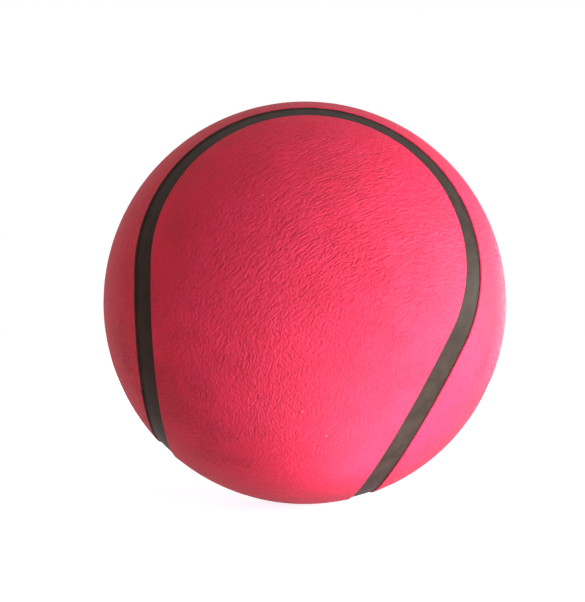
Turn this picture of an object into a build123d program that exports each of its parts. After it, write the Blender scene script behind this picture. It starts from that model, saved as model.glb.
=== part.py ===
from build123d import *

import os
from math import acos, cos, degrees, radians, sin, sqrt, tan

# Inflatable rubber playground ball with a two-panel moulded cover.
#
# The cover is two dumb-bell panels of coloured rubber, one the other turned over and round by a right angle.
# A sunk black strip runs between them in one closed line that bends round four lobes, like the seam of a
# tennis ball. Under the cover lie a rubber carcass, a winding of nylon thread and a bladder, and a soft
# rubber valve goes in through them all.
#
# Frame: millimetres, origin at the centre of the ball, +Z out through the middle of the valve.

# ---------------------------------------------------------------- driving dimensions (mm, degrees)

BALL_DIAMETER = 216.0  # the 8.5 inch playground size, inflated

# The layers of the wall, from the outside in
COVER_WALL = 1.4
CARCASS_WALL = 0.5
WINDING_WALL = 0.4
BLADDER_WALL = 0.5
CEMENT_FILM = 0.05  # between the carcass and the panels and strip that lie on it

# The line between the panels
LOBE_TILT = 14.6  # from the seam's own equator to the middle of each lobe
SEAM_LEAN = 13.1  # from the valve to the middle of the neck of its panel
STRIP_WIDTH = 12.6  # across the strip's face
CHANNEL_DEPTH = 0.8  # from the panels' surface down to the strip's face
WALL_DRAFT = 20.0  # how far the channel's walls lean back from upright
LIP_ROUNDING = 0.5  # on the panels' edges along the channel
LIP_REACH = 2.0  # from each wall of the channel out along the panel, past the end of the rounding

# The valve: a moulded housing bonded through the wall, and a soft plug that its own thick end keeps in
NECK_DIAMETER = 9.0
NECK_RECESS = 0.3  # from the crown of the ball down to the neck's face
MOUTH_ROUNDING = 0.4  # on the edge of the cover round the neck
FLANGE_DIAMETER = 26.0
FLANGE_THICKNESS = 1.2
BOSS_DIAMETER = 13.0
BOSS_LENGTH = 9.0  # below the flange
PLUG_DIAMETER = 5.6
PLUG_RECESS = 0.2  # from the neck's face down to the plug's
BULB_DIAMETER = 8.4
BULB_LENGTH = 6.0
BULB_ROUNDING = 1.2
PLUG_TAIL = 1.5  # how far the plug stands out below the housing
NEEDLE_BORE_DIAMETER = 2.0
NEEDLE_BORE_LENGTH = 5.5
LEAD_IN_DIAMETER = 3.4
LEAD_IN_DEPTH = 0.7

# ---------------------------------------------------------------- places worked out from them

cover_outer = BALL_DIAMETER / 2
cover_inner = cover_outer - COVER_WALL
strip_face = cover_outer - CHANNEL_DEPTH
carcass_outer = cover_inner - CEMENT_FILM
carcass_inner = carcass_outer - CARCASS_WALL
winding_inner = carcass_inner - WINDING_WALL
bladder_inner = winding_inner - BLADDER_WALL

neck_radius = NECK_DIAMETER / 2
neck_face = cover_outer - NECK_RECESS
flange_bottom = bladder_inner - FLANGE_THICKNESS
boss_bottom = flange_bottom - BOSS_LENGTH
plug_face = neck_face - PLUG_RECESS
plug_bottom = boss_bottom - PLUG_TAIL
bulb_top = plug_bottom + BULB_LENGTH
lead_in_bottom = plug_face - LEAD_IN_DEPTH
needle_bore_bottom = lead_in_bottom - NEEDLE_BORE_LENGTH


# ---------------------------------------------------------------- shapes that several pieces share

def ball_layer(outer, inner):
    """A hollow ball between two radii."""
    return Sphere(outer) - Sphere(inner)


def post(radius, bottom, top, top_radius=None):
    """A round post on the valve's axis from one height to another, tapered where a top radius is given."""
    from_bottom = (Align.CENTER, Align.CENTER, Align.MIN)
    if top_radius is None:
        return Pos(Z=bottom) * Cylinder(radius, top - bottom, align=from_bottom)
    return Pos(Z=bottom) * Cone(radius, top_radius, top - bottom, align=from_bottom)


def lobe_planes():
    """A plane for each of the seam's four lobes. Its normal goes out through the middle of the lobe, and its
    X points at the middle of the arc round the lobe. The lobes stand a right angle apart and lean down and
    up by turns."""
    tilt = radians(LOBE_TILT)
    for number in range(4):
        turn = radians(90 * number)
        outwards = Vector(cos(turn), sin(turn), 0)
        leaning = Vector(0, 0, 1 if number % 2 else -1)
        yield Plane(
            origin=(0, 0, 0),
            x_dir=leaning * cos(tilt) - outwards * sin(tilt),
            z_dir=outwards * cos(tilt) + leaning * sin(tilt),
        )


def along_seam(section):
    """A section swept along the whole seam. It is drawn in the XZ plane with the middle of the seam on +X,
    and is the same on both sides of it, because each arc curves the other way from the one before."""
    tilt = radians(LOBE_TILT)
    lobe_angle = acos(cos(tilt) / sqrt(2))  # from a lobe's middle to the seam, where neighbouring arcs touch
    half_arc = degrees(acos(-sin(tilt) / (sqrt(2) * sin(lobe_angle))))
    start = Rot(Z=-half_arc) * Rot(Y=degrees(lobe_angle) - 90) * section
    arc = revolve(start, Axis.Z, 2 * half_arc)
    return Rot(Y=SEAM_LEAN) * (Part() + [plane * arc for plane in lobe_planes()])


def channel_wedge(top):
    """The channel cut across: the space between its leaning walls, from inside the cover out to a radius."""
    half_width = STRIP_WIDTH / 2
    strip_edge = sqrt(strip_face**2 - half_width**2)
    low, high = cover_inner - half_width, top + half_width
    slope = tan(radians(WALL_DRAFT))
    low_half, high_half = (half_width + (x - strip_edge) * slope for x in (low, high))
    corners = (low, -low_half), (high, -high_half), (high, high_half), (low, low_half)
    return Polygon(*corners, align=None) & Circle(top)


def channel_opening():
    """The channel with its lips: the wedge, and a band just outside the ball that meets it in roundings."""
    band_top = cover_outer + LIP_ROUNDING
    band_box = Pos(X=cover_outer) * Rectangle(2 * LIP_REACH, STRIP_WIDTH + 2 * LIP_REACH)
    band = (Circle(band_top) - Circle(cover_outer)) & band_box
    section = channel_wedge(band_top) + band
    at_surface = section.vertices().filter_by(
        lambda v: abs(v.center().length - cover_outer) < LIP_ROUNDING / 2
    )
    lips = at_surface.sort_by(lambda v: abs(v.Y))[:2]
    return fillet(lips, LIP_ROUNDING)


# ---------------------------------------------------------------- the pieces

def cover_panels():
    """The two panels of the cover: the one that the valve goes through, and the plain one."""
    cover = ball_layer(cover_outer, cover_inner) - along_seam(Plane.XZ * channel_opening())
    cover -= post(neck_radius, 0, cover_outer)
    mouth = cover.edges().sort_by(Axis.Z)[-1]
    plain, with_valve = fillet(mouth, MOUTH_ROUNDING).solids().sort_by(Axis.Z)
    return with_valve, plain


def channel_strip():
    """The black strip in the bottom of the channel, bonded to the carcass and to both panels' walls."""
    return along_seam(Plane.XZ * (channel_wedge(strip_face) - Circle(cover_inner)))


def inner_layer(outer, inner):
    """A layer of the wall under the cover, with the hole that the valve's neck goes through."""
    return ball_layer(outer, inner) - post(neck_radius, 0, outer)


def valve_housing():
    """The moulded housing: a neck through the wall, a flange bonded inside the bladder, and a boss."""
    flange = ball_layer(bladder_inner, flange_bottom) & post(FLANGE_DIAMETER / 2, 0, bladder_inner)
    boss = post(BOSS_DIAMETER / 2, boss_bottom, flange_bottom)
    neck = post(neck_radius, flange_bottom, neck_face)
    seat = post(PLUG_DIAMETER / 2, bulb_top, neck_face) + post(BULB_DIAMETER / 2, boss_bottom, bulb_top)
    return boss + flange + neck - seat


def valve_plug():
    """The soft plug, with the blind bore that guides an inflating needle and a cone that leads it in."""
    bulb = post(BULB_DIAMETER / 2, plug_bottom, bulb_top)
    bulb = fillet(bulb.edges().group_by(Axis.Z)[0], BULB_ROUNDING)
    stem = post(PLUG_DIAMETER / 2, bulb_top, plug_face)
    needle_bore = post(NEEDLE_BORE_DIAMETER / 2, needle_bore_bottom, lead_in_bottom)
    lead_in = post(NEEDLE_BORE_DIAMETER / 2, lead_in_bottom, plug_face, LEAD_IN_DIAMETER / 2)
    return bulb + stem - needle_bore - lead_in


# ---------------------------------------------------------------- one STEP file for each

panel_with_valve, plain_panel = cover_panels()
pieces = {
    "cover_panel_valve": panel_with_valve,
    "cover_panel_plain": plain_panel,
    "channel_strip": channel_strip(),
    "carcass_layer": inner_layer(carcass_outer, carcass_inner),
    "nylon_winding": inner_layer(carcass_inner, winding_inner),
    "bladder": inner_layer(winding_inner, bladder_inner),
    "valve_housing": valve_housing(),
    "valve_plug": valve_plug(),
}

os.makedirs("parts", exist_ok=True)
for name, piece in pieces.items():
    export_step(piece, f"parts/{name}.step")
    size = piece.bounding_box().size
    print(f"{name}: {piece.volume:.0f} mm3, {size.X:.2f} x {size.Y:.2f} x {size.Z:.2f} mm")
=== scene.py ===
# %% [markdown]
# # A rubber playground ball
#
# This lesson dresses a finished CAD model of an inflatable rubber ball. The ball's cover is two dumb-bell
# panels of coloured rubber. A sunk black strip runs between them in one closed line. The cover is moulded
# hot over a ball wound with nylon thread, and the thread leaves its print in the soft rubber.
#
# The CAD model is loaded as a fixed frame, in metres, with the centre of the ball at the origin and the
# valve at +Z. Everything made here is placed from that frame.

from math import acos, asin, atan, cos, pi, radians, sin, sqrt, tan

import bpy
import numpy as np
from mathutils import Matrix, Vector, noise


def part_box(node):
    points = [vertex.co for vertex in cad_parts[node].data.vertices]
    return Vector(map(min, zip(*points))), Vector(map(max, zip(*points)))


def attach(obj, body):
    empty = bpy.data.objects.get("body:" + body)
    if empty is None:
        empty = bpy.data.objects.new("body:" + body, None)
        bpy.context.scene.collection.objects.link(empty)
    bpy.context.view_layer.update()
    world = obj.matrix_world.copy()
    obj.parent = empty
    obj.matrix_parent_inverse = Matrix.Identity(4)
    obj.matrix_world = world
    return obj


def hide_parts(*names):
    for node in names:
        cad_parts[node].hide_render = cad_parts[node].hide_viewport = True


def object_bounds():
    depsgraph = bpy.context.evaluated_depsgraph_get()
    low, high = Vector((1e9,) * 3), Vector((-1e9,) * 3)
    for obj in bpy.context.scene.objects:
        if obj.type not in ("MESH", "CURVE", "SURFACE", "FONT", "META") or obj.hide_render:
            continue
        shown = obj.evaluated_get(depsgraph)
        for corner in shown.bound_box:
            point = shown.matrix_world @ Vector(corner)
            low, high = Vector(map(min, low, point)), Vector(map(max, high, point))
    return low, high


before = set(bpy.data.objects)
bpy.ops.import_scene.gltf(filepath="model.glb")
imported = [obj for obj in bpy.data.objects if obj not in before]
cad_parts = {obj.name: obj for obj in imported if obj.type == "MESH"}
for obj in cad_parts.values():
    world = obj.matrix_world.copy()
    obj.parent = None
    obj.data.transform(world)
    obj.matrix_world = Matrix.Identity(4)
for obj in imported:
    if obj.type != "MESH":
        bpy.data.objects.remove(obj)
cad_box = [list(corner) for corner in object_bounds()]
print("CAD nodes:", ", ".join(sorted(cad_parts)))

# %% [markdown]
# ## The sizes that the frame gives
#
# The radii are read from the CAD nodes' own points, so this script can't disagree with the model. A
# node's farthest and nearest points from the centre are the outside and the inside of that layer.

# %% Radii of the layers
MM = 0.001


def points_of(thing):
    """The points of a mesh object as one table of numbers."""
    points = np.empty(len(thing.data.vertices) * 3)
    thing.data.vertices.foreach_get("co", points)
    return points.reshape(-1, 3)


def radii_of(node):
    """The distances from the centre of the ball to a node's nearest and farthest points."""
    reach = np.linalg.norm(points_of(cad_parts[node]), axis=1)
    return reach.min(), reach.max()


cover_inner, cover_outer = radii_of("cover_panel_plain")
strip_face = radii_of("channel_strip")[1]
neck_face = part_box("valve_housing")[1].z
print(f"cover {cover_outer / MM:.2f} to {cover_inner / MM:.2f} mm, strip at {strip_face / MM:.2f} mm")
print(f"the valve's neck ends {neck_face / MM:.2f} mm above the centre of the ball")

# %% [markdown]
# ## The line of the seam
#
# The seam is four arcs of circles drawn on the ball, one round each lobe. The lobes stand a right angle
# apart and lean down and up by turns, so each arc runs smoothly into the next. A few angles hold the
# whole line. A point of the seam, or of a line beside it, is found from how far along it lies, how far to
# the side, and how far from the centre of the ball.
#
# The line could also be a curve drawn by hand on the ball. The circles are exact, and the panels' rims
# can be put at any distance from the line without a search.

# %% The seam's circles
LOBE_TILT = radians(14.6)
SEAM_LEAN = radians(13.1)
STRIP_WIDTH = 12.6 * MM
WALL_DRAFT = radians(20.0)

lobe_angle = acos(cos(LOBE_TILT) / sqrt(2))
half_arc = acos(-sin(LOBE_TILT) / (sqrt(2) * sin(lobe_angle)))


def lobe_axes(number):
    """Three directions of a lobe: to the middle of its arc, square to that, and out through the lobe."""
    turn = number * pi / 2
    outwards = np.array([cos(turn), sin(turn), 0.0])
    leaning = np.array([0.0, 0.0, 1.0 if number % 2 else -1.0])
    out = outwards * cos(LOBE_TILT) + leaning * sin(LOBE_TILT)
    middle = leaning * cos(LOBE_TILT) - outwards * sin(LOBE_TILT)
    return middle, np.cross(out, middle), out


def rim_points(count, side, radius):
    """Points spaced evenly along the whole rim of a panel whose own lobes are the first and the third.

    The first point is the middle of the first lobe's arc. side is the angle from the seam's middle line."""
    reach = [lobe_angle - side if number % 2 == 0 else lobe_angle + side for number in range(4)]
    lengths = np.array([2 * half_arc * sin(angle) for angle in reach])
    starts = np.concatenate([[-lengths[0] / 2], lengths[0] / 2 + np.cumsum([0, *lengths[1:]])])
    along = np.arange(count) / count * lengths.sum()
    points = np.empty((count, 3))
    for number in range(5):  # the fifth stretch is the other half of the first arc
        lobe = number % 4
        inside = (along >= starts[number]) & (along <= starts[number + 1] if number < 4 else True)
        share = (along[inside] - starts[number]) / lengths[lobe]
        turn = (2 * share - 1) * half_arc * (1 if lobe % 2 == 0 else -1)
        middle, square, out = lobe_axes(lobe)
        ring = np.outer(np.cos(turn), middle) + np.outer(np.sin(turn), square)
        points[inside] = radius * (cos(reach[lobe]) * out + sin(reach[lobe]) * ring)
    return points


def wall_side(radius):
    """The angle from the seam's middle line at which the channel's leaning wall crosses a radius."""
    strip_edge = sqrt(strip_face**2 - (STRIP_WIDTH / 2) ** 2)
    half_width = STRIP_WIDTH / 2
    for _ in range(5):  # the height and the width depend on each other, and a few rounds settle both
        half_width = STRIP_WIDTH / 2 + (sqrt(radius**2 - half_width**2) - strip_edge) * tan(WALL_DRAFT)
    return asin(half_width / radius)


RIM_SIDE = wall_side(cover_outer)
print(f"lobe angle {lobe_angle * 180 / pi:.1f} degrees")
print(f"the panels' rims lie {RIM_SIDE * cover_outer / MM:.2f} mm from the seam's middle line")

# %% [markdown]
# ## A panel's skin, from three faces of a cube
#
# A real panel is a flat dumb-bell of rubber sheet laid on the ball and moulded. Two U's of three faces
# each make a whole cube, and two panels make a whole ball in the same way. So a panel starts as three
# faces of a cube. Its rim is put on the seam's line, and the rest is relaxed between rounds of
# subdivision, until the cells are as even as a net stretched over the ball.
#
# A sphere cut along the seam would be quicker, but the cut would leave slivers along the rim, just where
# the rounded lip has to shine evenly. Here the cells run along the lip.

# %% Helpers for editing a mesh
def only(piece):
    """Makes a piece the only selected and active object."""
    bpy.ops.object.select_all(action="DESELECT")
    piece.select_set(True)
    bpy.context.view_layer.objects.active = piece


def put_points(piece, points):
    """Moves all of a piece's points to a table of places."""
    piece.data.vertices.foreach_set("co", np.asarray(points).ravel())
    piece.data.update()


def choose(piece, kind, chosen):
    """Selects exactly these elements ("vertices", "edges" or "polygons") of a piece."""
    bpy.context.tool_settings.mesh_select_mode = [kind == k for k in ("vertices", "edges", "polygons")]
    for elements in (piece.data.vertices, piece.data.edges, piece.data.polygons):
        elements.foreach_set("select", np.zeros(len(elements), bool))
    getattr(piece.data, kind).foreach_set("select", chosen)


def edit(piece, *steps):
    """Runs edit-mode operators on a piece, each given as a function or as (function, settings)."""
    only(piece)
    bpy.ops.object.mode_set(mode="EDIT")
    for step in steps:
        run, settings = step if isinstance(step, tuple) else (step, {})
        run(**settings)
    bpy.ops.object.mode_set(mode="OBJECT")


def numbers_of(elements, what, width=1):
    """A property of all of a mesh's elements as a table of whole numbers."""
    table = np.empty(len(elements) * width, int)
    elements.foreach_get(what, table)
    return table.reshape(-1, width)


def rim_loops(piece):
    """Each open edge of a piece as the numbers of its points in order, the shortest first."""
    ends = numbers_of(piece.data.edges, "vertices", 2)
    faces_at = np.bincount(numbers_of(piece.data.loops, "edge_index").ravel(), minlength=len(ends))
    beside = {}
    for a, b in ends[faces_at == 1].tolist():
        beside.setdefault(a, []).append(b)
        beside.setdefault(b, []).append(a)
    loops = []
    while beside:
        walk = [next(iter(beside))]
        while onward := [point for point in beside.pop(walk[-1]) if point in beside]:
            walk.append(onward[0])
        loops.append(walk)
    return sorted(loops, key=len)


def edges_of(piece, *walks):
    """Marks the edges that join neighbours of closed walks of points."""
    size = len(piece.data.vertices)
    ends = np.sort(numbers_of(piece.data.edges, "vertices", 2), axis=1)
    pairs = [np.sort(np.stack([walk, np.roll(walk, -1)], axis=1), axis=1) for walk in walks]
    return np.isin(ends @ (size, 1), np.concatenate(pairs) @ (size, 1))


def rim_in_order(piece, points):
    """The rim's points in the order of rim_points: from the first lobe's middle towards +Y."""
    walk = rim_loops(piece)[-1]
    start = min(range(len(walk)), key=lambda place: np.linalg.norm(points[walk[place]] - RIM_START))
    walk = walk[start:] + walk[:start]
    return walk if points[walk[1]][1] > points[walk[-1]][1] else [walk[0], *walk[:0:-1]]


RIM_START = rim_points(1, RIM_SIDE, cover_outer)[0]

# %% Three faces of a cube, relaxed onto the ball
FIRST_CUTS = 10
DOUBLINGS = 4
INSIDE_AT = 2  # the doubling at which the coarser inside surface is copied
FIRST_ROUNDS = 12
LATER_ROUNDS = 5


def relax(piece, rounds):
    """Puts the rim on its line, evens out the rest and lays everything on the ball."""
    points = points_of(piece)
    walk = rim_in_order(piece, points)
    points[walk] = rim_points(len(walk), RIM_SIDE, cover_outer)
    put_points(piece, points)
    inner = np.ones(len(points), bool)
    inner[walk] = False
    choose(piece, "vertices", inner)
    for _ in range(rounds):
        edit(piece, (bpy.ops.mesh.vertices_smooth, dict(factor=0.5, repeat=12)))
        points = points_of(piece)
        put_points(piece, points * (cover_outer / np.linalg.norm(points, axis=1))[:, None])


bpy.ops.object.select_all(action="DESELECT")
bpy.ops.mesh.primitive_cube_add(size=2 * cover_outer / sqrt(3))
skin = bpy.context.object
skin.name = "panel_skin"
other_panel = [abs(face.normal.y) > 0.5 or face.normal.z < -0.5 for face in skin.data.polygons]
choose(skin, "polygons", other_panel)
edit(skin, (bpy.ops.mesh.delete, dict(type="FACE")))
choose(skin, "polygons", [True] * len(skin.data.polygons))
edit(skin, (bpy.ops.mesh.subdivide, dict(number_cuts=FIRST_CUTS - 1)))
relax(skin, FIRST_ROUNDS)
for doubling in range(DOUBLINGS):
    choose(skin, "polygons", [True] * len(skin.data.polygons))
    edit(skin, (bpy.ops.mesh.subdivide, dict(number_cuts=1)))
    relax(skin, LATER_ROUNDS)
    if doubling + 1 == INSIDE_AT:
        inside = skin.copy()
        inside.data = skin.data.copy()
        inside.name = "panel_inside"
        bpy.context.collection.objects.link(inside)
print(f"skin: {len(skin.data.polygons)} cells, inside: {len(inside.data.polygons)} cells")

# %% [markdown]
# ## The rim: a wall down into the channel and a rounded lip
#
# At the channel the panel's edge turns down and meets the black strip. The mould rounds the corner to
# about 0.4 mm, and that lip is the only bright or dark line that the ball has, so it is real shape. The
# rim is extruded down to the inside of the cover, and the corner is bevelled in four steps.

# %% Wall, lip and inside surface
LIP_BEVEL = 0.37 * MM
LIP_STEPS = 4

lip = rim_in_order(skin, points_of(skin))
choose(skin, "edges", edges_of(skin, lip))
edit(skin, bpy.ops.mesh.extrude_region_move)
points = points_of(skin)
foot = rim_in_order(skin, points)
points[foot] = rim_points(len(foot), wall_side(cover_inner), cover_inner)
put_points(skin, points)
choose(skin, "edges", edges_of(skin, lip))
edit(skin, (bpy.ops.mesh.bevel, dict(offset=LIP_BEVEL, segments=LIP_STEPS, affect="EDGES")))

put_points(inside, points_of(inside) * (cover_inner / cover_outer))
choose(inside, "polygons", [True] * len(inside.data.polygons))
edit(inside, bpy.ops.mesh.flip_normals)
only(skin)
inside.select_set(True)
bpy.ops.object.join()
choose(skin, "edges", edges_of(skin, *rim_loops(skin)))
edit(skin, bpy.ops.mesh.bridge_edge_loops)
print(f"closed panel: {len(skin.data.polygons)} faces, open rims: {len(rim_loops(skin))}")

# %% [markdown]
# ## Two panels from one skin
#
# Both real panels come out of the same cutter. One is turned over and round by a right angle, so that its
# lobes fill the spaces beside the other's neck. The model does the same: the skin is copied, each copy
# with a mesh of its own, and both are leaned so that the valve comes to the top.

# %% Place the panels
def turned(piece, *turns):
    """Turns a piece about the centre of the ball by angles about named axes, one after another."""
    turn = Matrix.Identity(3)
    for angle, axis in turns:
        turn = Matrix.Rotation(angle, 3, axis) @ turn
    put_points(piece, points_of(piece) @ np.array(turn).T)


plain_panel = skin.copy()
plain_panel.data = skin.data.copy()
bpy.context.collection.objects.link(plain_panel)
plain_panel.name = "rubber_panel_plain"
valve_panel = skin
valve_panel.name = "rubber_panel_valve"
turned(plain_panel, (pi, "X"), (pi / 2, "Z"), (SEAM_LEAN, "Y"))
turned(valve_panel, (SEAM_LEAN, "Y"))
for panel in (plain_panel, valve_panel):
    low, high = points_of(panel).min(0) / MM, points_of(panel).max(0) / MM
    print(f"{panel.name}: {low.round(1)} to {high.round(1)} mm")

# %% [markdown]
# ## The mouth of the valve
#
# The valve's rubber neck comes through a round hole in the top panel. Moulds leave a small smooth land
# round it, where the thread doesn't print. The cells near the hole are cleared, the ragged openings
# outside and inside are made round, and rings of cells lead down to the hole, whose edge is rounded like
# the lips.

# %% Open and round the hole
LAND_RADIUS = 7.5 * MM
NECK_RADIUS = 4.5 * MM
LAND_RINGS = (6.5 * MM, 5.5 * MM)
MOUTH_BEVEL = 0.35 * MM
MOUTH_STEPS = 3


def rounded(piece, walk, radius, shell):
    """Puts a closed walk of points evenly round the valve's axis, on a shell of the ball."""
    points = points_of(piece)
    angles = np.unwrap(np.arctan2(points[walk, 1], points[walk, 0]))
    step = np.copysign(2 * pi / len(walk), angles[-1] - angles[0])
    even = np.arange(len(walk)) * step
    even += (angles - even).mean()
    height = sqrt(shell**2 - radius**2)
    circle = [radius * np.cos(even), radius * np.sin(even), np.full(len(walk), height)]
    points[walk] = np.stack(circle, axis=1)
    put_points(piece, points)


def near_valve(piece, reach):
    """Marks the faces on the valve's side whose middles lie within reach of its axis."""
    centres = np.empty(len(piece.data.polygons) * 3)
    piece.data.polygons.foreach_get("center", centres)
    centres = centres.reshape(-1, 3)
    return (np.hypot(centres[:, 0], centres[:, 1]) < reach) & (centres[:, 2] > 0)


choose(valve_panel, "polygons", near_valve(valve_panel, LAND_RADIUS))
edit(valve_panel, (bpy.ops.mesh.delete, dict(type="FACE")))
inner_ring, outer_ring = rim_loops(valve_panel)
rounded(valve_panel, inner_ring, LAND_RADIUS, cover_inner)
rounded(valve_panel, outer_ring, LAND_RADIUS, cover_outer)
points = points_of(valve_panel)
around = (np.hypot(points[:, 0], points[:, 1]) < 2 * LAND_RADIUS) & (points[:, 2] > 0)
around &= np.linalg.norm(points, axis=1) > (cover_inner + cover_outer) / 2
around[outer_ring] = False
choose(valve_panel, "vertices", around)
edit(valve_panel, (bpy.ops.mesh.vertices_smooth, dict(factor=0.5, repeat=20)))
points = points_of(valve_panel)
points[around] *= (cover_outer / np.linalg.norm(points[around], axis=1))[:, None]
put_points(valve_panel, points)

rings = [(radius, cover_outer) for radius in (*LAND_RINGS, NECK_RADIUS)] + [(NECK_RADIUS, cover_inner)]
for radius, shell in rings:
    ring = rim_loops(valve_panel)[-1]
    choose(valve_panel, "edges", edges_of(valve_panel, ring))
    edit(valve_panel, bpy.ops.mesh.extrude_region_move)
    if shell == cover_outer:
        mouth = rim_loops(valve_panel)[-1]
    rounded(valve_panel, rim_loops(valve_panel)[-1], radius, shell)
choose(valve_panel, "edges", edges_of(valve_panel, *rim_loops(valve_panel)))
edit(valve_panel, bpy.ops.mesh.bridge_edge_loops)
choose(valve_panel, "edges", edges_of(valve_panel, mouth))
edit(valve_panel, (bpy.ops.mesh.bevel, dict(offset=MOUTH_BEVEL, segments=MOUTH_STEPS, affect="EDGES")))
print(f"mouth of {len(mouth)} points, open rims: {len(rim_loops(valve_panel))}")

# %% [markdown]
# ## Relief of the moulded rubber
#
# Rubber that cures over a wound ball doesn't come out even. It swells and sinks a little between the
# thread's crossings, and where the sheet folded on itself a short crease is left. The larger of these
# marks are real shape. They only go inwards, because the mould's wall is where the rubber's highest
# points are. The lips and the valve's land are cut clean into the mould, so the relief fades out beside
# them.

# %% Press the relief into both panels
RELIEF_FADE = 3 * MM
ON_THE_SKIN = 0.005 * MM  # a point this close to the outer radius belongs to the outer skin
FAR_AWAY = 1.0  # in metres, for the side that has no land
SWELLS = ((24 * MM, 0.10 * MM), (9 * MM, 0.07 * MM), (4.2 * MM, 0.06 * MM))  # (size, depth)
CREASE_WIDTH = 1.3 * MM
ARC_SLACK = 0.01  # so that no point falls between the ends of two arcs
CREASES = (
    # (direction of its middle, direction it runs in, length, depth)
    ((-0.085, -0.93, 0.355), (0.45, 0.0, 0.9), 5.5 * MM, 0.30 * MM),
    ((-0.020, -0.96, 0.275), (0.35, 0.0, 0.9), 4.0 * MM, 0.24 * MM),
    ((-0.395, -0.79, -0.470), (0.8, 0.0, 0.6), 4.5 * MM, 0.26 * MM),
    ((-0.300, -0.76, -0.575), (0.3, 0.0, 0.9), 5.0 * MM, 0.26 * MM),
)


def seam_gap(points):
    """How far each point lies from the seam's middle line, along the ball."""
    flat = points @ np.array(Matrix.Rotation(SEAM_LEAN, 3, "Y"))
    flat /= np.linalg.norm(flat, axis=1)[:, None]
    gaps = []
    for number in range(4):
        middle, square, out = lobe_axes(number)
        turn = np.abs(np.arctan2(flat @ square, flat @ middle))
        gap = np.abs(np.arccos(np.clip(flat @ out, -1, 1)) - lobe_angle)
        gaps.append(np.where(turn <= half_arc + ARC_SLACK, gap, pi))
    return cover_outer * np.min(gaps, axis=0)


def press_relief(panel):
    """Presses the swells and the creases into a panel's outer skin."""
    points = points_of(panel)
    skin_points = np.flatnonzero(np.abs(np.linalg.norm(points, axis=1) - cover_outer) < ON_THE_SKIN)
    outside = points[skin_points]
    from_lip = seam_gap(outside) - RIM_SIDE * cover_outer
    from_axis = np.hypot(outside[:, 0], outside[:, 1])
    from_land = np.where(outside[:, 2] > 0, from_axis - LAND_RADIUS, FAR_AWAY)
    fade = np.clip(np.minimum(from_lip, from_land) / RELIEF_FADE, 0, 1)
    depth = np.zeros(len(outside))
    for size, deep in SWELLS:
        depth += deep * np.array([0.5 - 0.5 * noise.noise(Vector(point / size)) for point in outside])
    for place, along, length, deep in CREASES:
        away = outside - cover_outer * np.array(Vector(place).normalized())
        run = np.array(Vector(along).normalized())
        forward = away @ run
        bow = np.outer(forward**2 / (3 * length), (1, 0, 0))
        beside = np.linalg.norm(away - np.outer(forward, run) - bow, axis=1)
        depth += deep * np.exp(-((forward / length) ** 2) * 2 - (beside / CREASE_WIDTH) ** 2)
    points[skin_points] = outside * (1 - depth * fade / cover_outer)[:, None]
    put_points(panel, points)
    print(f"{panel.name}: relief up to {(depth * fade).max() / MM:.2f} mm deep")


for panel in (plain_panel, valve_panel):
    press_relief(panel)
    panel.data.shade_smooth()

# %% [markdown]
# ## Colours and nodes
#
# Colours are written as they are seen, in sRGB hex, and one function turns them to the linear values that
# a shader works with. One more function adds a node with its settings and links.

# %% Colour and node helpers
def linear(hex_colour):
    """An sRGB hex colour as linear red, green, blue and alpha."""
    parts = [int(hex_colour[at : at + 2], 16) / 255 for at in (1, 3, 5)]
    return (*[part / 12.92 if part <= 0.04045 else ((part + 0.055) / 1.055) ** 2.4 for part in parts], 1.0)


def add(tree, kind, inputs=None, **settings):
    """Adds a node. An input's value is a number, a colour or another node's output."""
    made = tree.nodes.new(kind)
    for name, value in settings.items():
        setattr(made, name, value)
    for name, value in (inputs or {}).items():
        if isinstance(value, bpy.types.NodeSocket):
            tree.links.new(value, made.inputs[name])
        else:
            made.inputs[name].default_value = value
    return made


def new_material(name):
    """A material with an empty tree, and that tree."""
    material = bpy.data.materials.new(name)
    material.use_nodes = True
    material.node_tree.nodes.clear()
    return material, material.node_tree


def along_axis(axis):
    """The turn that takes X to an axis, as a Mapping node wants it."""
    return Vector((1, 0, 0)).rotation_difference(Vector(axis)).to_euler()


print("the middle grey #808080 in linear light:", round(linear("#808080")[0], 3))

# %% [markdown]
# ## The cover: moulded natural rubber
#
# The cover is a natural-rubber compound, coloured right through with a crimson pigment and cured in a
# mould. It has no lacquer. The skin is matt, and a thin bloom of wax makes it a little paler in places.
# What the eye finds is the print of the wound thread: fine parallel ridges, running in a few directions,
# that come and go over the ball, and between them a pebbly crepe.
#
# The ridges could be an image, but an image needs a seam somewhere on a ball. Noise stretched along the
# threads' direction has none, because it fills space. Each winding is noise in a frame of its own, whose
# X is the axis that the threads go round. Each shows in a few round patches, whose edges stray, and where
# patches overlap, the windings cross.

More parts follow.
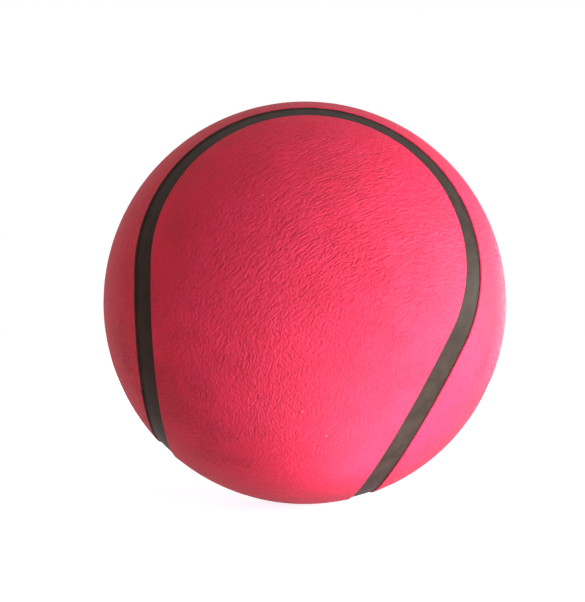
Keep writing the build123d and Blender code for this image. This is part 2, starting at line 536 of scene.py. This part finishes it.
# %% Where each print shows
# The thread is about 0.35 mm thick and the mould's grain about 0.2 mm. Neither shows at its own size on a
# ball that fills the frame, so the print is drawn about 1 mm wide and the grain 0.9 mm. Where threads cross
# below, the skin is a little uneven too, in soft lumps of about 3 mm.
THREAD_PITCH = 1.0 * MM
GRAIN = 0.9 * MM
LUMP = 3.2 * MM
GRAIN_HEIGHT = 0.50  # heights are shares of PRINT_DEPTH
LUMP_HEIGHT = 0.50
PRINT_DEPTH = 1.05 * MM
PRINTS = {
    # name: (axis the threads go round, (across, along) a ridge, height, patches)
    # a patch is (direction of its middle, degrees to where it ends, degrees to where it is full)
    "long_threads": (
        (-0.56, 0.436, 0.70),
        (0.85 * THREAD_PITCH, 5.5 * MM),
        1.6,
        (((-0.16, -0.90, 0.36), 46, 14), ((0.85, 0.35, 0.40), 45, 15), ((-0.45, 0.75, -0.50), 50, 15)),
    ),
    "right_threads": (
        (-0.47, 0.30, 0.83),
        (1.0 * THREAD_PITCH, 4.0 * MM),
        0.5,
        (((0.62, -0.78, 0.10), 46, 16), ((-0.95, 0.15, 0.25), 40, 12), ((0.10, 0.45, -0.88), 40, 12)),
    ),
    "steep_threads": (
        (-0.93, 0.15, 0.34),
        (0.80 * THREAD_PITCH, 4.0 * MM),
        1.05,
        (((-0.22, -0.97, -0.02), 42, 12), ((0.25, 0.90, 0.35), 45, 10), ((-0.30, 0.10, 0.95), 40, 15)),
    ),
    "falling_threads": (
        (0.60, 0.30, 0.75),
        (0.80 * THREAD_PITCH, 3.2 * MM),
        0.95,
        (((-0.12, -0.96, 0.20), 50, 14), ((0.60, 0.65, 0.45), 50, 15), ((-0.75, 0.35, -0.60), 45, 15)),
    ),
    "crepe": (
        (0.3, 0.9, 0.3),
        (0.80 * THREAD_PITCH, 1.1 * MM),
        1.2,
        (((-0.14, -0.94, -0.18), 54, 22), ((0.60, 0.65, -0.45), 50, 15), ((-0.65, 0.45, 0.60), 45, 15)),
    ),
    "level_weave": (
        (0.03, 0.15, 1.0),
        (0.95 * THREAD_PITCH, 4.5 * MM),
        1.7,
        (((-0.54, -0.68, -0.49), 26, 10), ((0.80, -0.10, -0.60), 35, 12), ((0.0, 0.80, 0.60), 35, 12)),
    ),
    "upright_weave": (
        (1.0, 0.1, 0.03),
        (0.95 * THREAD_PITCH, 4.5 * MM),
        1.5,
        (((-0.48, -0.70, -0.52), 25, 10), ((-0.80, -0.20, -0.55), 35, 12), ((0.55, 0.80, -0.10), 35, 12)),
    ),
}
print(len(PRINTS), "windings in", sum(len(patches) for *_, patches in PRINTS.values()), "patches")

# %% Height of the print
WANDER = 14 * MM
STRAY = 50 * MM

cover_rubber, tree = new_material("natural_rubber_moulded_crimson")
place = add(tree, "ShaderNodeTexCoord").outputs["Object"]
wander = add(tree, "ShaderNodeTexNoise", {"Vector": place, "Scale": 1 / WANDER, "Detail": 2.0})
about_zero = {0: wander.outputs["Color"], 1: (0.5, 0.5, 0.5)}
offset = add(tree, "ShaderNodeVectorMath", about_zero, operation="SUBTRACT")
strayed = add(
    tree,
    "ShaderNodeVectorMath",
    {0: offset.outputs[0], 1: (STRAY, STRAY, STRAY), 2: place},
    operation="MULTIPLY_ADD",
)

height = 0.0
for axis, (across, run), amount, patches in PRINTS.values():
    laid = add(
        tree,
        "ShaderNodeMapping",
        {"Vector": place, "Rotation": along_axis(axis), "Scale": (across, run, run)},
        vector_type="TEXTURE",
    )
    ridges = add(
        tree,
        "ShaderNodeTexNoise",
        {"Vector": laid.outputs[0], "Scale": 1.0, "Detail": 3.0, "Roughness": 0.6},
    )
    up_and_down = add(tree, "ShaderNodeMath", {0: ridges.outputs["Fac"], 1: 0.5}, operation="SUBTRACT")
    shown = 0.0
    for middle, ends_at, full_at in patches:
        toward = add(
            tree,
            "ShaderNodeVectorMath",
            {0: strayed.outputs[0], 1: Vector(middle).normalized()},
            operation="DOT_PRODUCT",
        )
        patch = add(
            tree,
            "ShaderNodeMapRange",
            {
                "Value": toward.outputs["Value"],
                "From Min": cover_outer * cos(radians(ends_at)),
                "From Max": cover_outer * cos(radians(full_at)),
                "To Max": amount,
            },
            interpolation_type="SMOOTHSTEP",
        )
        shown = add(tree, "ShaderNodeMath", {0: patch.outputs[0], 1: shown}, operation="MAXIMUM").outputs[0]
    height = add(
        tree,
        "ShaderNodeMath",
        {0: up_and_down.outputs[0], 1: shown, 2: height},
        operation="MULTIPLY_ADD",
    ).outputs[0]
fine = {"Vector": place, "Scale": 1 / GRAIN, "Detail": 2.0, "Roughness": 0.6}
soft = {"Vector": place, "Scale": 1 / LUMP, "Detail": 1.0, "Roughness": 0.5}
grain = add(tree, "ShaderNodeTexNoise", fine)
lumps = add(tree, "ShaderNodeTexNoise", soft)
for texture, amount in ((grain, GRAIN_HEIGHT), (lumps, LUMP_HEIGHT)):
    height = add(
        tree,
        "ShaderNodeMath",
        {0: texture.outputs["Fac"], 1: amount, 2: height},
        operation="MULTIPLY_ADD",
    ).outputs[0]

# The valve's land was cut smooth into the mould, so the print dies away beside it.
from_valve = add(tree, "ShaderNodeVectorMath", {0: place, 1: (0, 0, cover_outer)}, operation="DISTANCE")
off_land = add(
    tree,
    "ShaderNodeMapRange",
    {
        "Value": from_valve.outputs["Value"],
        "From Min": LAND_RADIUS,
        "From Max": 1.3 * LAND_RADIUS,
        "To Min": 0.1,
    },
    interpolation_type="SMOOTHSTEP",
)
bump = add(
    tree,
    "ShaderNodeBump",
    {"Height": height, "Strength": off_land.outputs[0], "Distance": PRINT_DEPTH},
)
print("nodes for the height:", len(tree.nodes))

# %% [markdown]
# ## The cover's colour
#
# The pigment goes right through and is even. What changes from place to place is the bloom, a film of wax
# that comes to the skin as the rubber ages and makes it a little paler and pinker. It is thicker in some
# clouds, a few centimetres across. Here and there a speck of white filler that didn't mix shows at the
# surface. One flat colour would look like paint. Clouds of slow noise and a thin scatter of cells give
# both.

# %% Colour, bloom and specks
CRIMSON = "#D22951"
BLOOMED = "#DA2D5A"
FILLER = "#F7A6B4"
CLOUD = 22 * MM
SPECK_SPACING = 17 * MM
SPECK_ENDS_AT, SPECK_FULL_AT = 0.035, 0.020  # from a speck's middle, as shares of the spacing

clouds = {"Vector": place, "Scale": 1 / CLOUD, "Detail": 4.0, "Roughness": 0.6}
cloud = add(tree, "ShaderNodeTexNoise", clouds)
tone = add(tree, "ShaderNodeValToRGB", {"Fac": cloud.outputs["Fac"]})
tone.color_ramp.elements[0].position = 0.36
tone.color_ramp.elements[0].color = linear(CRIMSON)
tone.color_ramp.elements[1].position = 0.64
tone.color_ramp.elements[1].color = linear(BLOOMED)
specks = add(
    tree,
    "ShaderNodeTexVoronoi",
    {"Vector": place, "Scale": 1 / SPECK_SPACING, "Randomness": 1.0},
    feature="F1",
)
speck = add(
    tree,
    "ShaderNodeMapRange",
    {
        "Value": specks.outputs["Distance"],
        "From Min": SPECK_ENDS_AT,
        "From Max": SPECK_FULL_AT,
        "To Max": 0.55,
    },
    interpolation_type="SMOOTHSTEP",
)
flecked = add(
    tree,
    "ShaderNodeMix",
    {"Factor": speck.outputs[0], 6: tone.outputs["Color"], 7: linear(FILLER)},
    data_type="RGBA",
)
print(f"cover colour from {CRIMSON} to {BLOOMED}, specks about {SPECK_SPACING / MM:.0f} mm apart")

# %% [markdown]
# ## Black on the walls of the channel
# The walls of the channel are coloured near-black from their foot up to a ragged edge. That edge stands
# higher towards -X than towards +X. The walls could be a piece of their own with a black material, but then
# the edge would be a clean line. Here the colour depends on how far a point is from the centre of the ball,
# with noise for the raggedness. Only faces that stand across the ball's skin can turn black, so a deep crease
# in the cover stays crimson.

# %% Near-black on the walls of the channel
WALL_EDGE_LUMPS = 2.5 * MM
RAGGEDNESS = 0.40 * MM
LOWER_AT_PLUS_X = 0.45 * MM
# the near-black that the walls of the channel take below their ragged edge, which sits lower towards +X
WALL_BLACK = "#1F1712"
EDGE_TOP, EDGE_FOOT = 0.02 * MM, 0.12 * MM  # where the black has ended and where it is full, under the skin

from_centre = add(tree, "ShaderNodeVectorMath", {0: place}, operation="LENGTH")
wall_edge_noise = add(tree, "ShaderNodeTexNoise", {"Vector": place, "Scale": 1 / WALL_EDGE_LUMPS, "Detail": 3.0})
ragged = add(
    tree,
    "ShaderNodeMath",
    {0: wall_edge_noise.outputs["Fac"], 1: RAGGEDNESS, 2: from_centre.outputs["Value"]},
    operation="MULTIPLY_ADD",
)
to_one_side = add(
    tree,
    "ShaderNodeVectorMath",
    {0: place, 1: (LOWER_AT_PLUS_X / cover_outer, 0, 0)},
    operation="DOT_PRODUCT",
)
edge = add(tree, "ShaderNodeMath", {0: ragged.outputs[0], 1: to_one_side.outputs["Value"]}, operation="ADD")
wall_black_share = add(
    tree,
    "ShaderNodeMapRange",
    {"Value": edge.outputs[0], "From Min": cover_outer - EDGE_TOP, "From Max": cover_outer - EDGE_FOOT},
    interpolation_type="SMOOTHSTEP",
)
facing = add(tree, "ShaderNodeNewGeometry")
outward = add(tree, "ShaderNodeVectorMath", {0: place}, operation="NORMALIZE")
upright = add(
    tree,
    "ShaderNodeVectorMath",
    {0: facing.outputs["True Normal"], 1: outward.outputs[0]},
    operation="DOT_PRODUCT",
)
# The product is 1 for a face that lies in the skin and 0 for one square to it. The walls are well under 0.7.
slant = {"Value": upright.outputs["Value"], "From Min": 0.85, "From Max": 0.70}
on_wall = add(tree, "ShaderNodeMapRange", slant)
blackened = add(tree, "ShaderNodeMath", {0: wall_black_share.outputs[0], 1: on_wall.outputs[0]}, operation="MULTIPLY")
colour = add(
    tree,
    "ShaderNodeMix",
    {"Factor": blackened.outputs[0], 6: flecked.outputs[2], 7: linear(WALL_BLACK)},
    data_type="RGBA",
)
below = (RAGGEDNESS / 2 + EDGE_FOOT) / MM
print(f"black up to about {below:.1f} mm below the skin, higher towards -X and lower towards +X")

# %% [markdown]
# ## The cover's gloss
#
# Rubber is a plastic-like surface with an index of refraction near 1.52, and with no lacquer it is matt:
# its roughness is a little over a half. The bloom scatters part of what the clean skin would mirror, so
# the specular level is well under the usual 0.5. Without that, the rim of the ball would mirror the pale
# room and go milky where the real one stays red.

# %% Cover rubber
# The skin was never polished. Handling has scuffed the tops of its grain a touch rougher than the hollows.
SMOOTHEST, ROUGHEST = 0.52, 0.66

between = {"Value": grain.outputs["Fac"], "To Min": SMOOTHEST, "To Max": ROUGHEST}
matt = add(tree, "ShaderNodeMapRange", between)
shader = add(
    tree,
    "ShaderNodeBsdfPrincipled",
    {
        "Base Color": colour.outputs[2],
        "Roughness": matt.outputs[0],
        "IOR": 1.52,
        "Specular IOR Level": 0.28,
        "Normal": bump.outputs[0],
    },
)
add(tree, "ShaderNodeOutputMaterial", {"Surface": shader.outputs[0]})
print(cover_rubber.name, "of", len(tree.nodes), "nodes")

# %% [markdown]
# ## The strip: black rubber
#
# The strip is the carcass's own kind of rubber, filled with carbon black. It was never touched by the
# thread, so it is smoother than the cover, with only the mould's fine sandblasted grain. Dust and bloom
# lie on it, so it looks brown-black in warm shade and a dry grey where a lamp reaches it. It is that dust
# that takes the light, and not a shine, so the black is a lifted one and the specular level is very low.
#
# The carcass, the bladder, the valve's housing and its plug are rubbers with carbon black too, made in
# other ways. So one recipe is written for all five, with the colour, the roughness and the grain of each.
# Grains of 0.2 mm are drawn larger, because they wouldn't show at their own size.

# %% Black rubbers
DUST_CLOUD = 7 * MM
DUST_LIFT = 1.6  # how much paler the rubber is where the dust lies thick
UNEVEN = 0.06  # how far the roughness strays to either side


def black_rubber(name, colour, roughness, grain_size, grain_depth):
    """Rubber filled with carbon black, with the grain of the mould's wall."""
    material, tree = new_material(name)
    place = add(tree, "ShaderNodeTexCoord").outputs["Object"]
    blasted = add(tree, "ShaderNodeTexNoise", {"Vector": place, "Scale": 1 / grain_size, "Detail": 3.0})
    dusty = add(tree, "ShaderNodeTexNoise", {"Vector": place, "Scale": 1 / DUST_CLOUD, "Detail": 5.0})
    tone = add(tree, "ShaderNodeValToRGB", {"Fac": dusty.outputs["Fac"]})
    tone.color_ramp.elements[0].position = 0.35
    tone.color_ramp.elements[0].color = linear(colour)
    tone.color_ramp.elements[1].position = 0.70
    tone.color_ramp.elements[1].color = [DUST_LIFT * part for part in linear(colour)[:3]] + [1.0]
    matt = add(
        tree,
        "ShaderNodeMapRange",
        {"Value": blasted.outputs["Fac"], "To Min": roughness - UNEVEN, "To Max": roughness + UNEVEN},
    )
    pressed = {"Height": blasted.outputs["Fac"], "Strength": 1.0, "Distance": grain_depth}
    bump = add(tree, "ShaderNodeBump", pressed)
    shader = add(
        tree,
        "ShaderNodeBsdfPrincipled",
        {
            "Base Color": tone.outputs["Color"],
            "Roughness": matt.outputs[0],
            "IOR": 1.52,
            "Specular IOR Level": 0.05,
            "Normal": bump.outputs[0],
        },
    )
    add(tree, "ShaderNodeOutputMaterial", {"Surface": shader.outputs[0]})
    return material


strip_rubber = black_rubber("natural_rubber_black_moulded", "#2E2824", 0.50, 1.1 * MM, 0.10 * MM)
carcass_rubber = black_rubber("natural_rubber_black_calendered", "#26231F", 0.68, 2.5 * MM, 0.10 * MM)
bladder_rubber = black_rubber("butyl_rubber_dipped", "#1D1E20", 0.42, 6.0 * MM, 0.06 * MM)
valve_rubber = black_rubber("butyl_rubber_soft_moulded", "#26221F", 0.50, 0.7 * MM, 0.04 * MM)
plug_rubber = black_rubber("natural_rubber_grey_soft_plug", "#453F3A", 0.56, 0.7 * MM, 0.05 * MM)
for rubber in (strip_rubber, carcass_rubber, bladder_rubber, valve_rubber, plug_rubber):
    print(rubber.name, "of", len(rubber.node_tree.nodes), "nodes")

# %% [markdown]
# ## The winding: nylon thread
#
# Under the carcass, hundreds of metres of off-white nylon thread lie in great circles that cross at every
# angle. The solid stands for the whole layer, so its surface carries the threads: three sets of fine
# bands, each round an axis of its own, with the highest one on top. Real thread of 0.35 mm as curves
# would take millions of faces for a layer that the cover hides. The bands are drawn 1.2 mm wide so that
# they show when the layer is looked at by itself.

# %% Wound thread
BAND = 1.2 * MM
WAVE_LENGTH = 0.314  # in metres, of a wave texture at a scale of 1
WINDING_AXES = ((1.0, 0.2, 0.3), (-0.3, 1.0, 0.4), (0.2, -0.5, 1.0))

nylon_thread, tree = new_material("nylon_thread_wound")
place = add(tree, "ShaderNodeTexCoord").outputs["Object"]
top = 0.0
for axis in WINDING_AXES:
    wound = {"Vector": place, "Rotation": along_axis(axis)}
    laid = add(tree, "ShaderNodeMapping", wound, vector_type="TEXTURE")
    bands = add(
        tree,
        "ShaderNodeTexWave",
        {"Vector": laid.outputs[0], "Scale": WAVE_LENGTH / BAND, "Distortion": 1.5, "Detail Scale": 0.02},
    )
    top = add(tree, "ShaderNodeMath", {0: bands.outputs["Fac"], 1: top}, operation="MAXIMUM").outputs[0]
shade = add(tree, "ShaderNodeValToRGB", {"Fac": top})
shade.color_ramp.elements[0].color = linear("#8E8676")
shade.color_ramp.elements[1].color = linear("#E4DED0")
bump = add(tree, "ShaderNodeBump", {"Height": top, "Strength": 1.0, "Distance": 0.25 * MM})
shader = add(
    tree,
    "ShaderNodeBsdfPrincipled",
    {"Base Color": shade.outputs["Color"], "Roughness": 0.5, "IOR": 1.53, "Normal": bump.outputs[0]},
)
add(tree, "ShaderNodeOutputMaterial", {"Surface": shader.outputs[0]})
print(nylon_thread.name, "of", len(tree.nodes), "nodes")

# %% [markdown]
# ## Each piece gets its finish
#
# The two new panels stand in for the plain panels of the CAD model and ride with the ball, which is one
# body. The strip, the layers under the cover and the valve have the right shape already. They stay as
# they are and only their material changes.

# %% Dress the pieces
for panel, node in ((plain_panel, "cover_panel_plain"), (valve_panel, "cover_panel_valve")):
    panel.data.materials.clear()
    panel.data.materials.append(cover_rubber)
    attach(panel, "root")
    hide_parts(node)
CAD_FINISHES = {
    "channel_strip": strip_rubber,
    "carcass_layer": carcass_rubber,
    "nylon_winding": nylon_thread,
    "bladder": bladder_rubber,
    "valve_housing": valve_rubber,
    "valve_plug": plug_rubber,
}
for name, material in CAD_FINISHES.items():
    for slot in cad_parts[name].material_slots:
        slot.material = material
print("finished:", ", ".join(CAD_FINISHES))

# %% [markdown]
# ## The floor
#
# The ball stands on matt white card. Lamps strong enough to turn the card plain white would bleach the
# rubber, so the card glows a little for the rays that show it, and not for the rays that light the ball.
# It glows less near the ball, where its shadow has to show, and more farther off, where the card has to
# meet the white surroundings without a line.

# %% Floor
FLOOR_SIZE = 8  # metres
NEAR, FAR = 0.25, 0.60  # metres from under the ball, between which the glow rises
NEAR_GLOW, FAR_GLOW = 0.88, 1.0


def sees_background(tree):
    """1 for a camera, glossy or transmission ray, and 0 for the rays that light the ball."""
    rays = add(tree, "ShaderNodeLightPath")
    shown = rays.outputs["Is Camera Ray"]
    for kind in ("Is Glossy Ray", "Is Transmission Ray"):
        shown = add(tree, "ShaderNodeMath", {0: shown, 1: rays.outputs[kind]}, operation="MAXIMUM").outputs[0]
    return shown


bpy.ops.mesh.primitive_plane_add(size=FLOOR_SIZE, location=(0, 0, cad_box[0][2]))
floor = bpy.context.object
floor.name = "studio_floor"
floor_paint, tree = new_material("matt_white_studio_floor")
paint = add(tree, "ShaderNodeBsdfDiffuse", {"Color": linear("#EDEDED")})
place = add(tree, "ShaderNodeTexCoord").outputs["Object"]
from_ball = add(tree, "ShaderNodeVectorMath", {0: place}, operation="LENGTH")
level = add(
    tree,
    "ShaderNodeMapRange",
    {
        "Value": from_ball.outputs["Value"],
        "From Min": NEAR,
        "From Max": FAR,
        "To Min": NEAR_GLOW,
        "To Max": FAR_GLOW,
    },
)
glow = add(tree, "ShaderNodeEmission", {"Color": (0.90, 0.95, 1.0, 1.0)})
seen = add(tree, "ShaderNodeMath", {0: sees_background(tree), 1: level.outputs[0]}, operation="MULTIPLY")
tree.links.new(seen.outputs[0], glow.inputs["Strength"])
both = add(tree, "ShaderNodeAddShader", {0: paint.outputs[0], 1: glow.outputs[0]})
add(tree, "ShaderNodeOutputMaterial", {"Surface": both.outputs[0]})
floor.data.materials.append(floor_paint)
print(f"floor at {cad_box[0][2] / MM:.1f} mm")

# %% [markdown]
# ## The surroundings
#
# What the eye sees behind the ball, and what its skin mirrors, is plain white. What lights it from all
# sides is the room: dim and warm, a little stronger from one side. Warm fill light is what keeps the
# shaded side a deep red and not a purple one. One white world for both would be simpler, but it would
# fill every shadow.

# %% World
ROOM_LIGHT = (1.0, 0.42, 0.20, 1.0)
ROOM_LEVEL = 0.35
ROOM_LEAN = (-0.13, -0.18, -0.07)  # the level rises towards this direction, by its length at most
WHITE = (1, 1, 1, 1)

world = bpy.data.worlds.new("soft_studio_surroundings")
bpy.context.scene.world = world
world.use_nodes = True
tree = world.node_tree
tree.nodes.clear()
shown = sees_background(tree)
direction = add(tree, "ShaderNodeTexCoord").outputs["Generated"]
leaning = add(tree, "ShaderNodeVectorMath", {0: direction, 1: ROOM_LEAN}, operation="DOT_PRODUCT")
dim = add(tree, "ShaderNodeMath", {0: leaning.outputs["Value"], 1: ROOM_LEVEL}, operation="ADD")
colour = add(tree, "ShaderNodeMix", {"Factor": shown, 6: ROOM_LIGHT, 7: WHITE}, data_type="RGBA")
strength = add(tree, "ShaderNodeMix", {"Factor": shown, 2: dim.outputs[0], 3: 1.0}, data_type="FLOAT")
background = add(tree, "ShaderNodeBackground", {"Color": colour.outputs[2], "Strength": strength.outputs[0]})
add(tree, "ShaderNodeOutputWorld", {"Surface": background.outputs[0]})
print("room light of strength", ROOM_LEVEL)

# %% [markdown]
# ## The lamps
#
# The light is that of a room with its windows on one side. A wide window ahead and to the right brings
# out the print, because its light grazes the ridges in the middle of the ball. A smaller one stands
# straight to the right and lights the rim there. A third is behind, so that the back isn't left dark. A
# broad pale card on the floor throws light up to the underside. All four are large and soft, so no edge
# of a shadow crosses the ball. One lamp overhead would be simpler, but it would light the top and leave
# the print flat.

# %% Lamps
LAMP_WHITE = "#FAF7F4"
CARD_LIFT = 4 * MM


def softbox(name, place, wide, high, watts):
    """An area lamp of a size in metres that faces the ball."""
    lamp = bpy.data.lights.new(name, "AREA")
    lamp.shape = "RECTANGLE"
    lamp.size, lamp.size_y = wide, high
    lamp.energy = watts
    lamp.color = linear(LAMP_WHITE)[:3]
    holder = bpy.data.objects.new(name, lamp)
    bpy.context.collection.objects.link(holder)
    holder.location = place
    holder.rotation_euler = (-Vector(place)).to_track_quat("-Z", "Y").to_euler()
    return holder


softbox("window_on_the_right", (0.77, -0.64, 0.06), 0.80, 0.30, 8.4)
softbox("window_beside_the_ball", (0.80, 0.06, 0.04), 0.60, 0.26, 5.2)
softbox("window_behind_the_ball", (0.22, 0.95, 0.02), 0.80, 0.24, 7.5)
card = softbox("card_on_the_floor", (0.415, -0.416, cad_box[0][2] + CARD_LIFT), 0.80, 0.70, 6.1)
card.rotation_euler = (pi, 0, 0)
print("lamps:", ", ".join(lamp.name for lamp in bpy.data.lights))

# %% [markdown]
# ## The camera
#
# The camera is level with the ball and just under five radii from its centre. Nearer, the seam's loops
# would crowd towards the rim, and from far off the two sides of the loop would look too straight. The
# lens follows from how much of the frame the ball fills. The ball sits a little to the right of the
# middle, so the camera is turned by that much and not shifted.

# %% Camera
BALL_IN_FRAME = 0.334834  # the ball's radius as a share of the frame's longer side
BALL_RIGHT, BALL_BELOW = 0.019601, 0.002824  # its place off the middle, as the same share
DISTANCE = 4.9 * cover_outer
TOWARDS_CAMERA = (0.030, -0.9995, -0.011)

camera_data = bpy.data.cameras.new("camera")
camera = bpy.data.objects.new("camera", camera_data)
bpy.context.collection.objects.link(camera)
away = Vector(TOWARDS_CAMERA).normalized()
camera.location = away * DISTANCE
focal = BALL_IN_FRAME / tan(asin(cover_outer / DISTANCE))
camera_data.lens = focal * camera_data.sensor_width
look = (-away).to_track_quat("-Z", "Y")
to_the_side = Matrix.Rotation(atan(BALL_RIGHT / focal), 4, "Y")
upwards = Matrix.Rotation(atan(BALL_BELOW / focal), 4, "X")
aside = to_the_side @ upwards
camera.rotation_euler = (look.to_matrix().to_4x4() @ aside).to_euler()
bpy.context.scene.camera = camera
bpy.context.scene.view_settings.view_transform = "Standard"
print(f"lens {camera_data.lens:.1f} mm at {DISTANCE:.3f} m")

# %% [markdown]
# ## The CAD model's box
#
# The last cell prints the box that holds the CAD model. The dressed ball must stay
# inside the box of the CAD model.

# %% The CAD model's box
print("CAD box", cad_box)
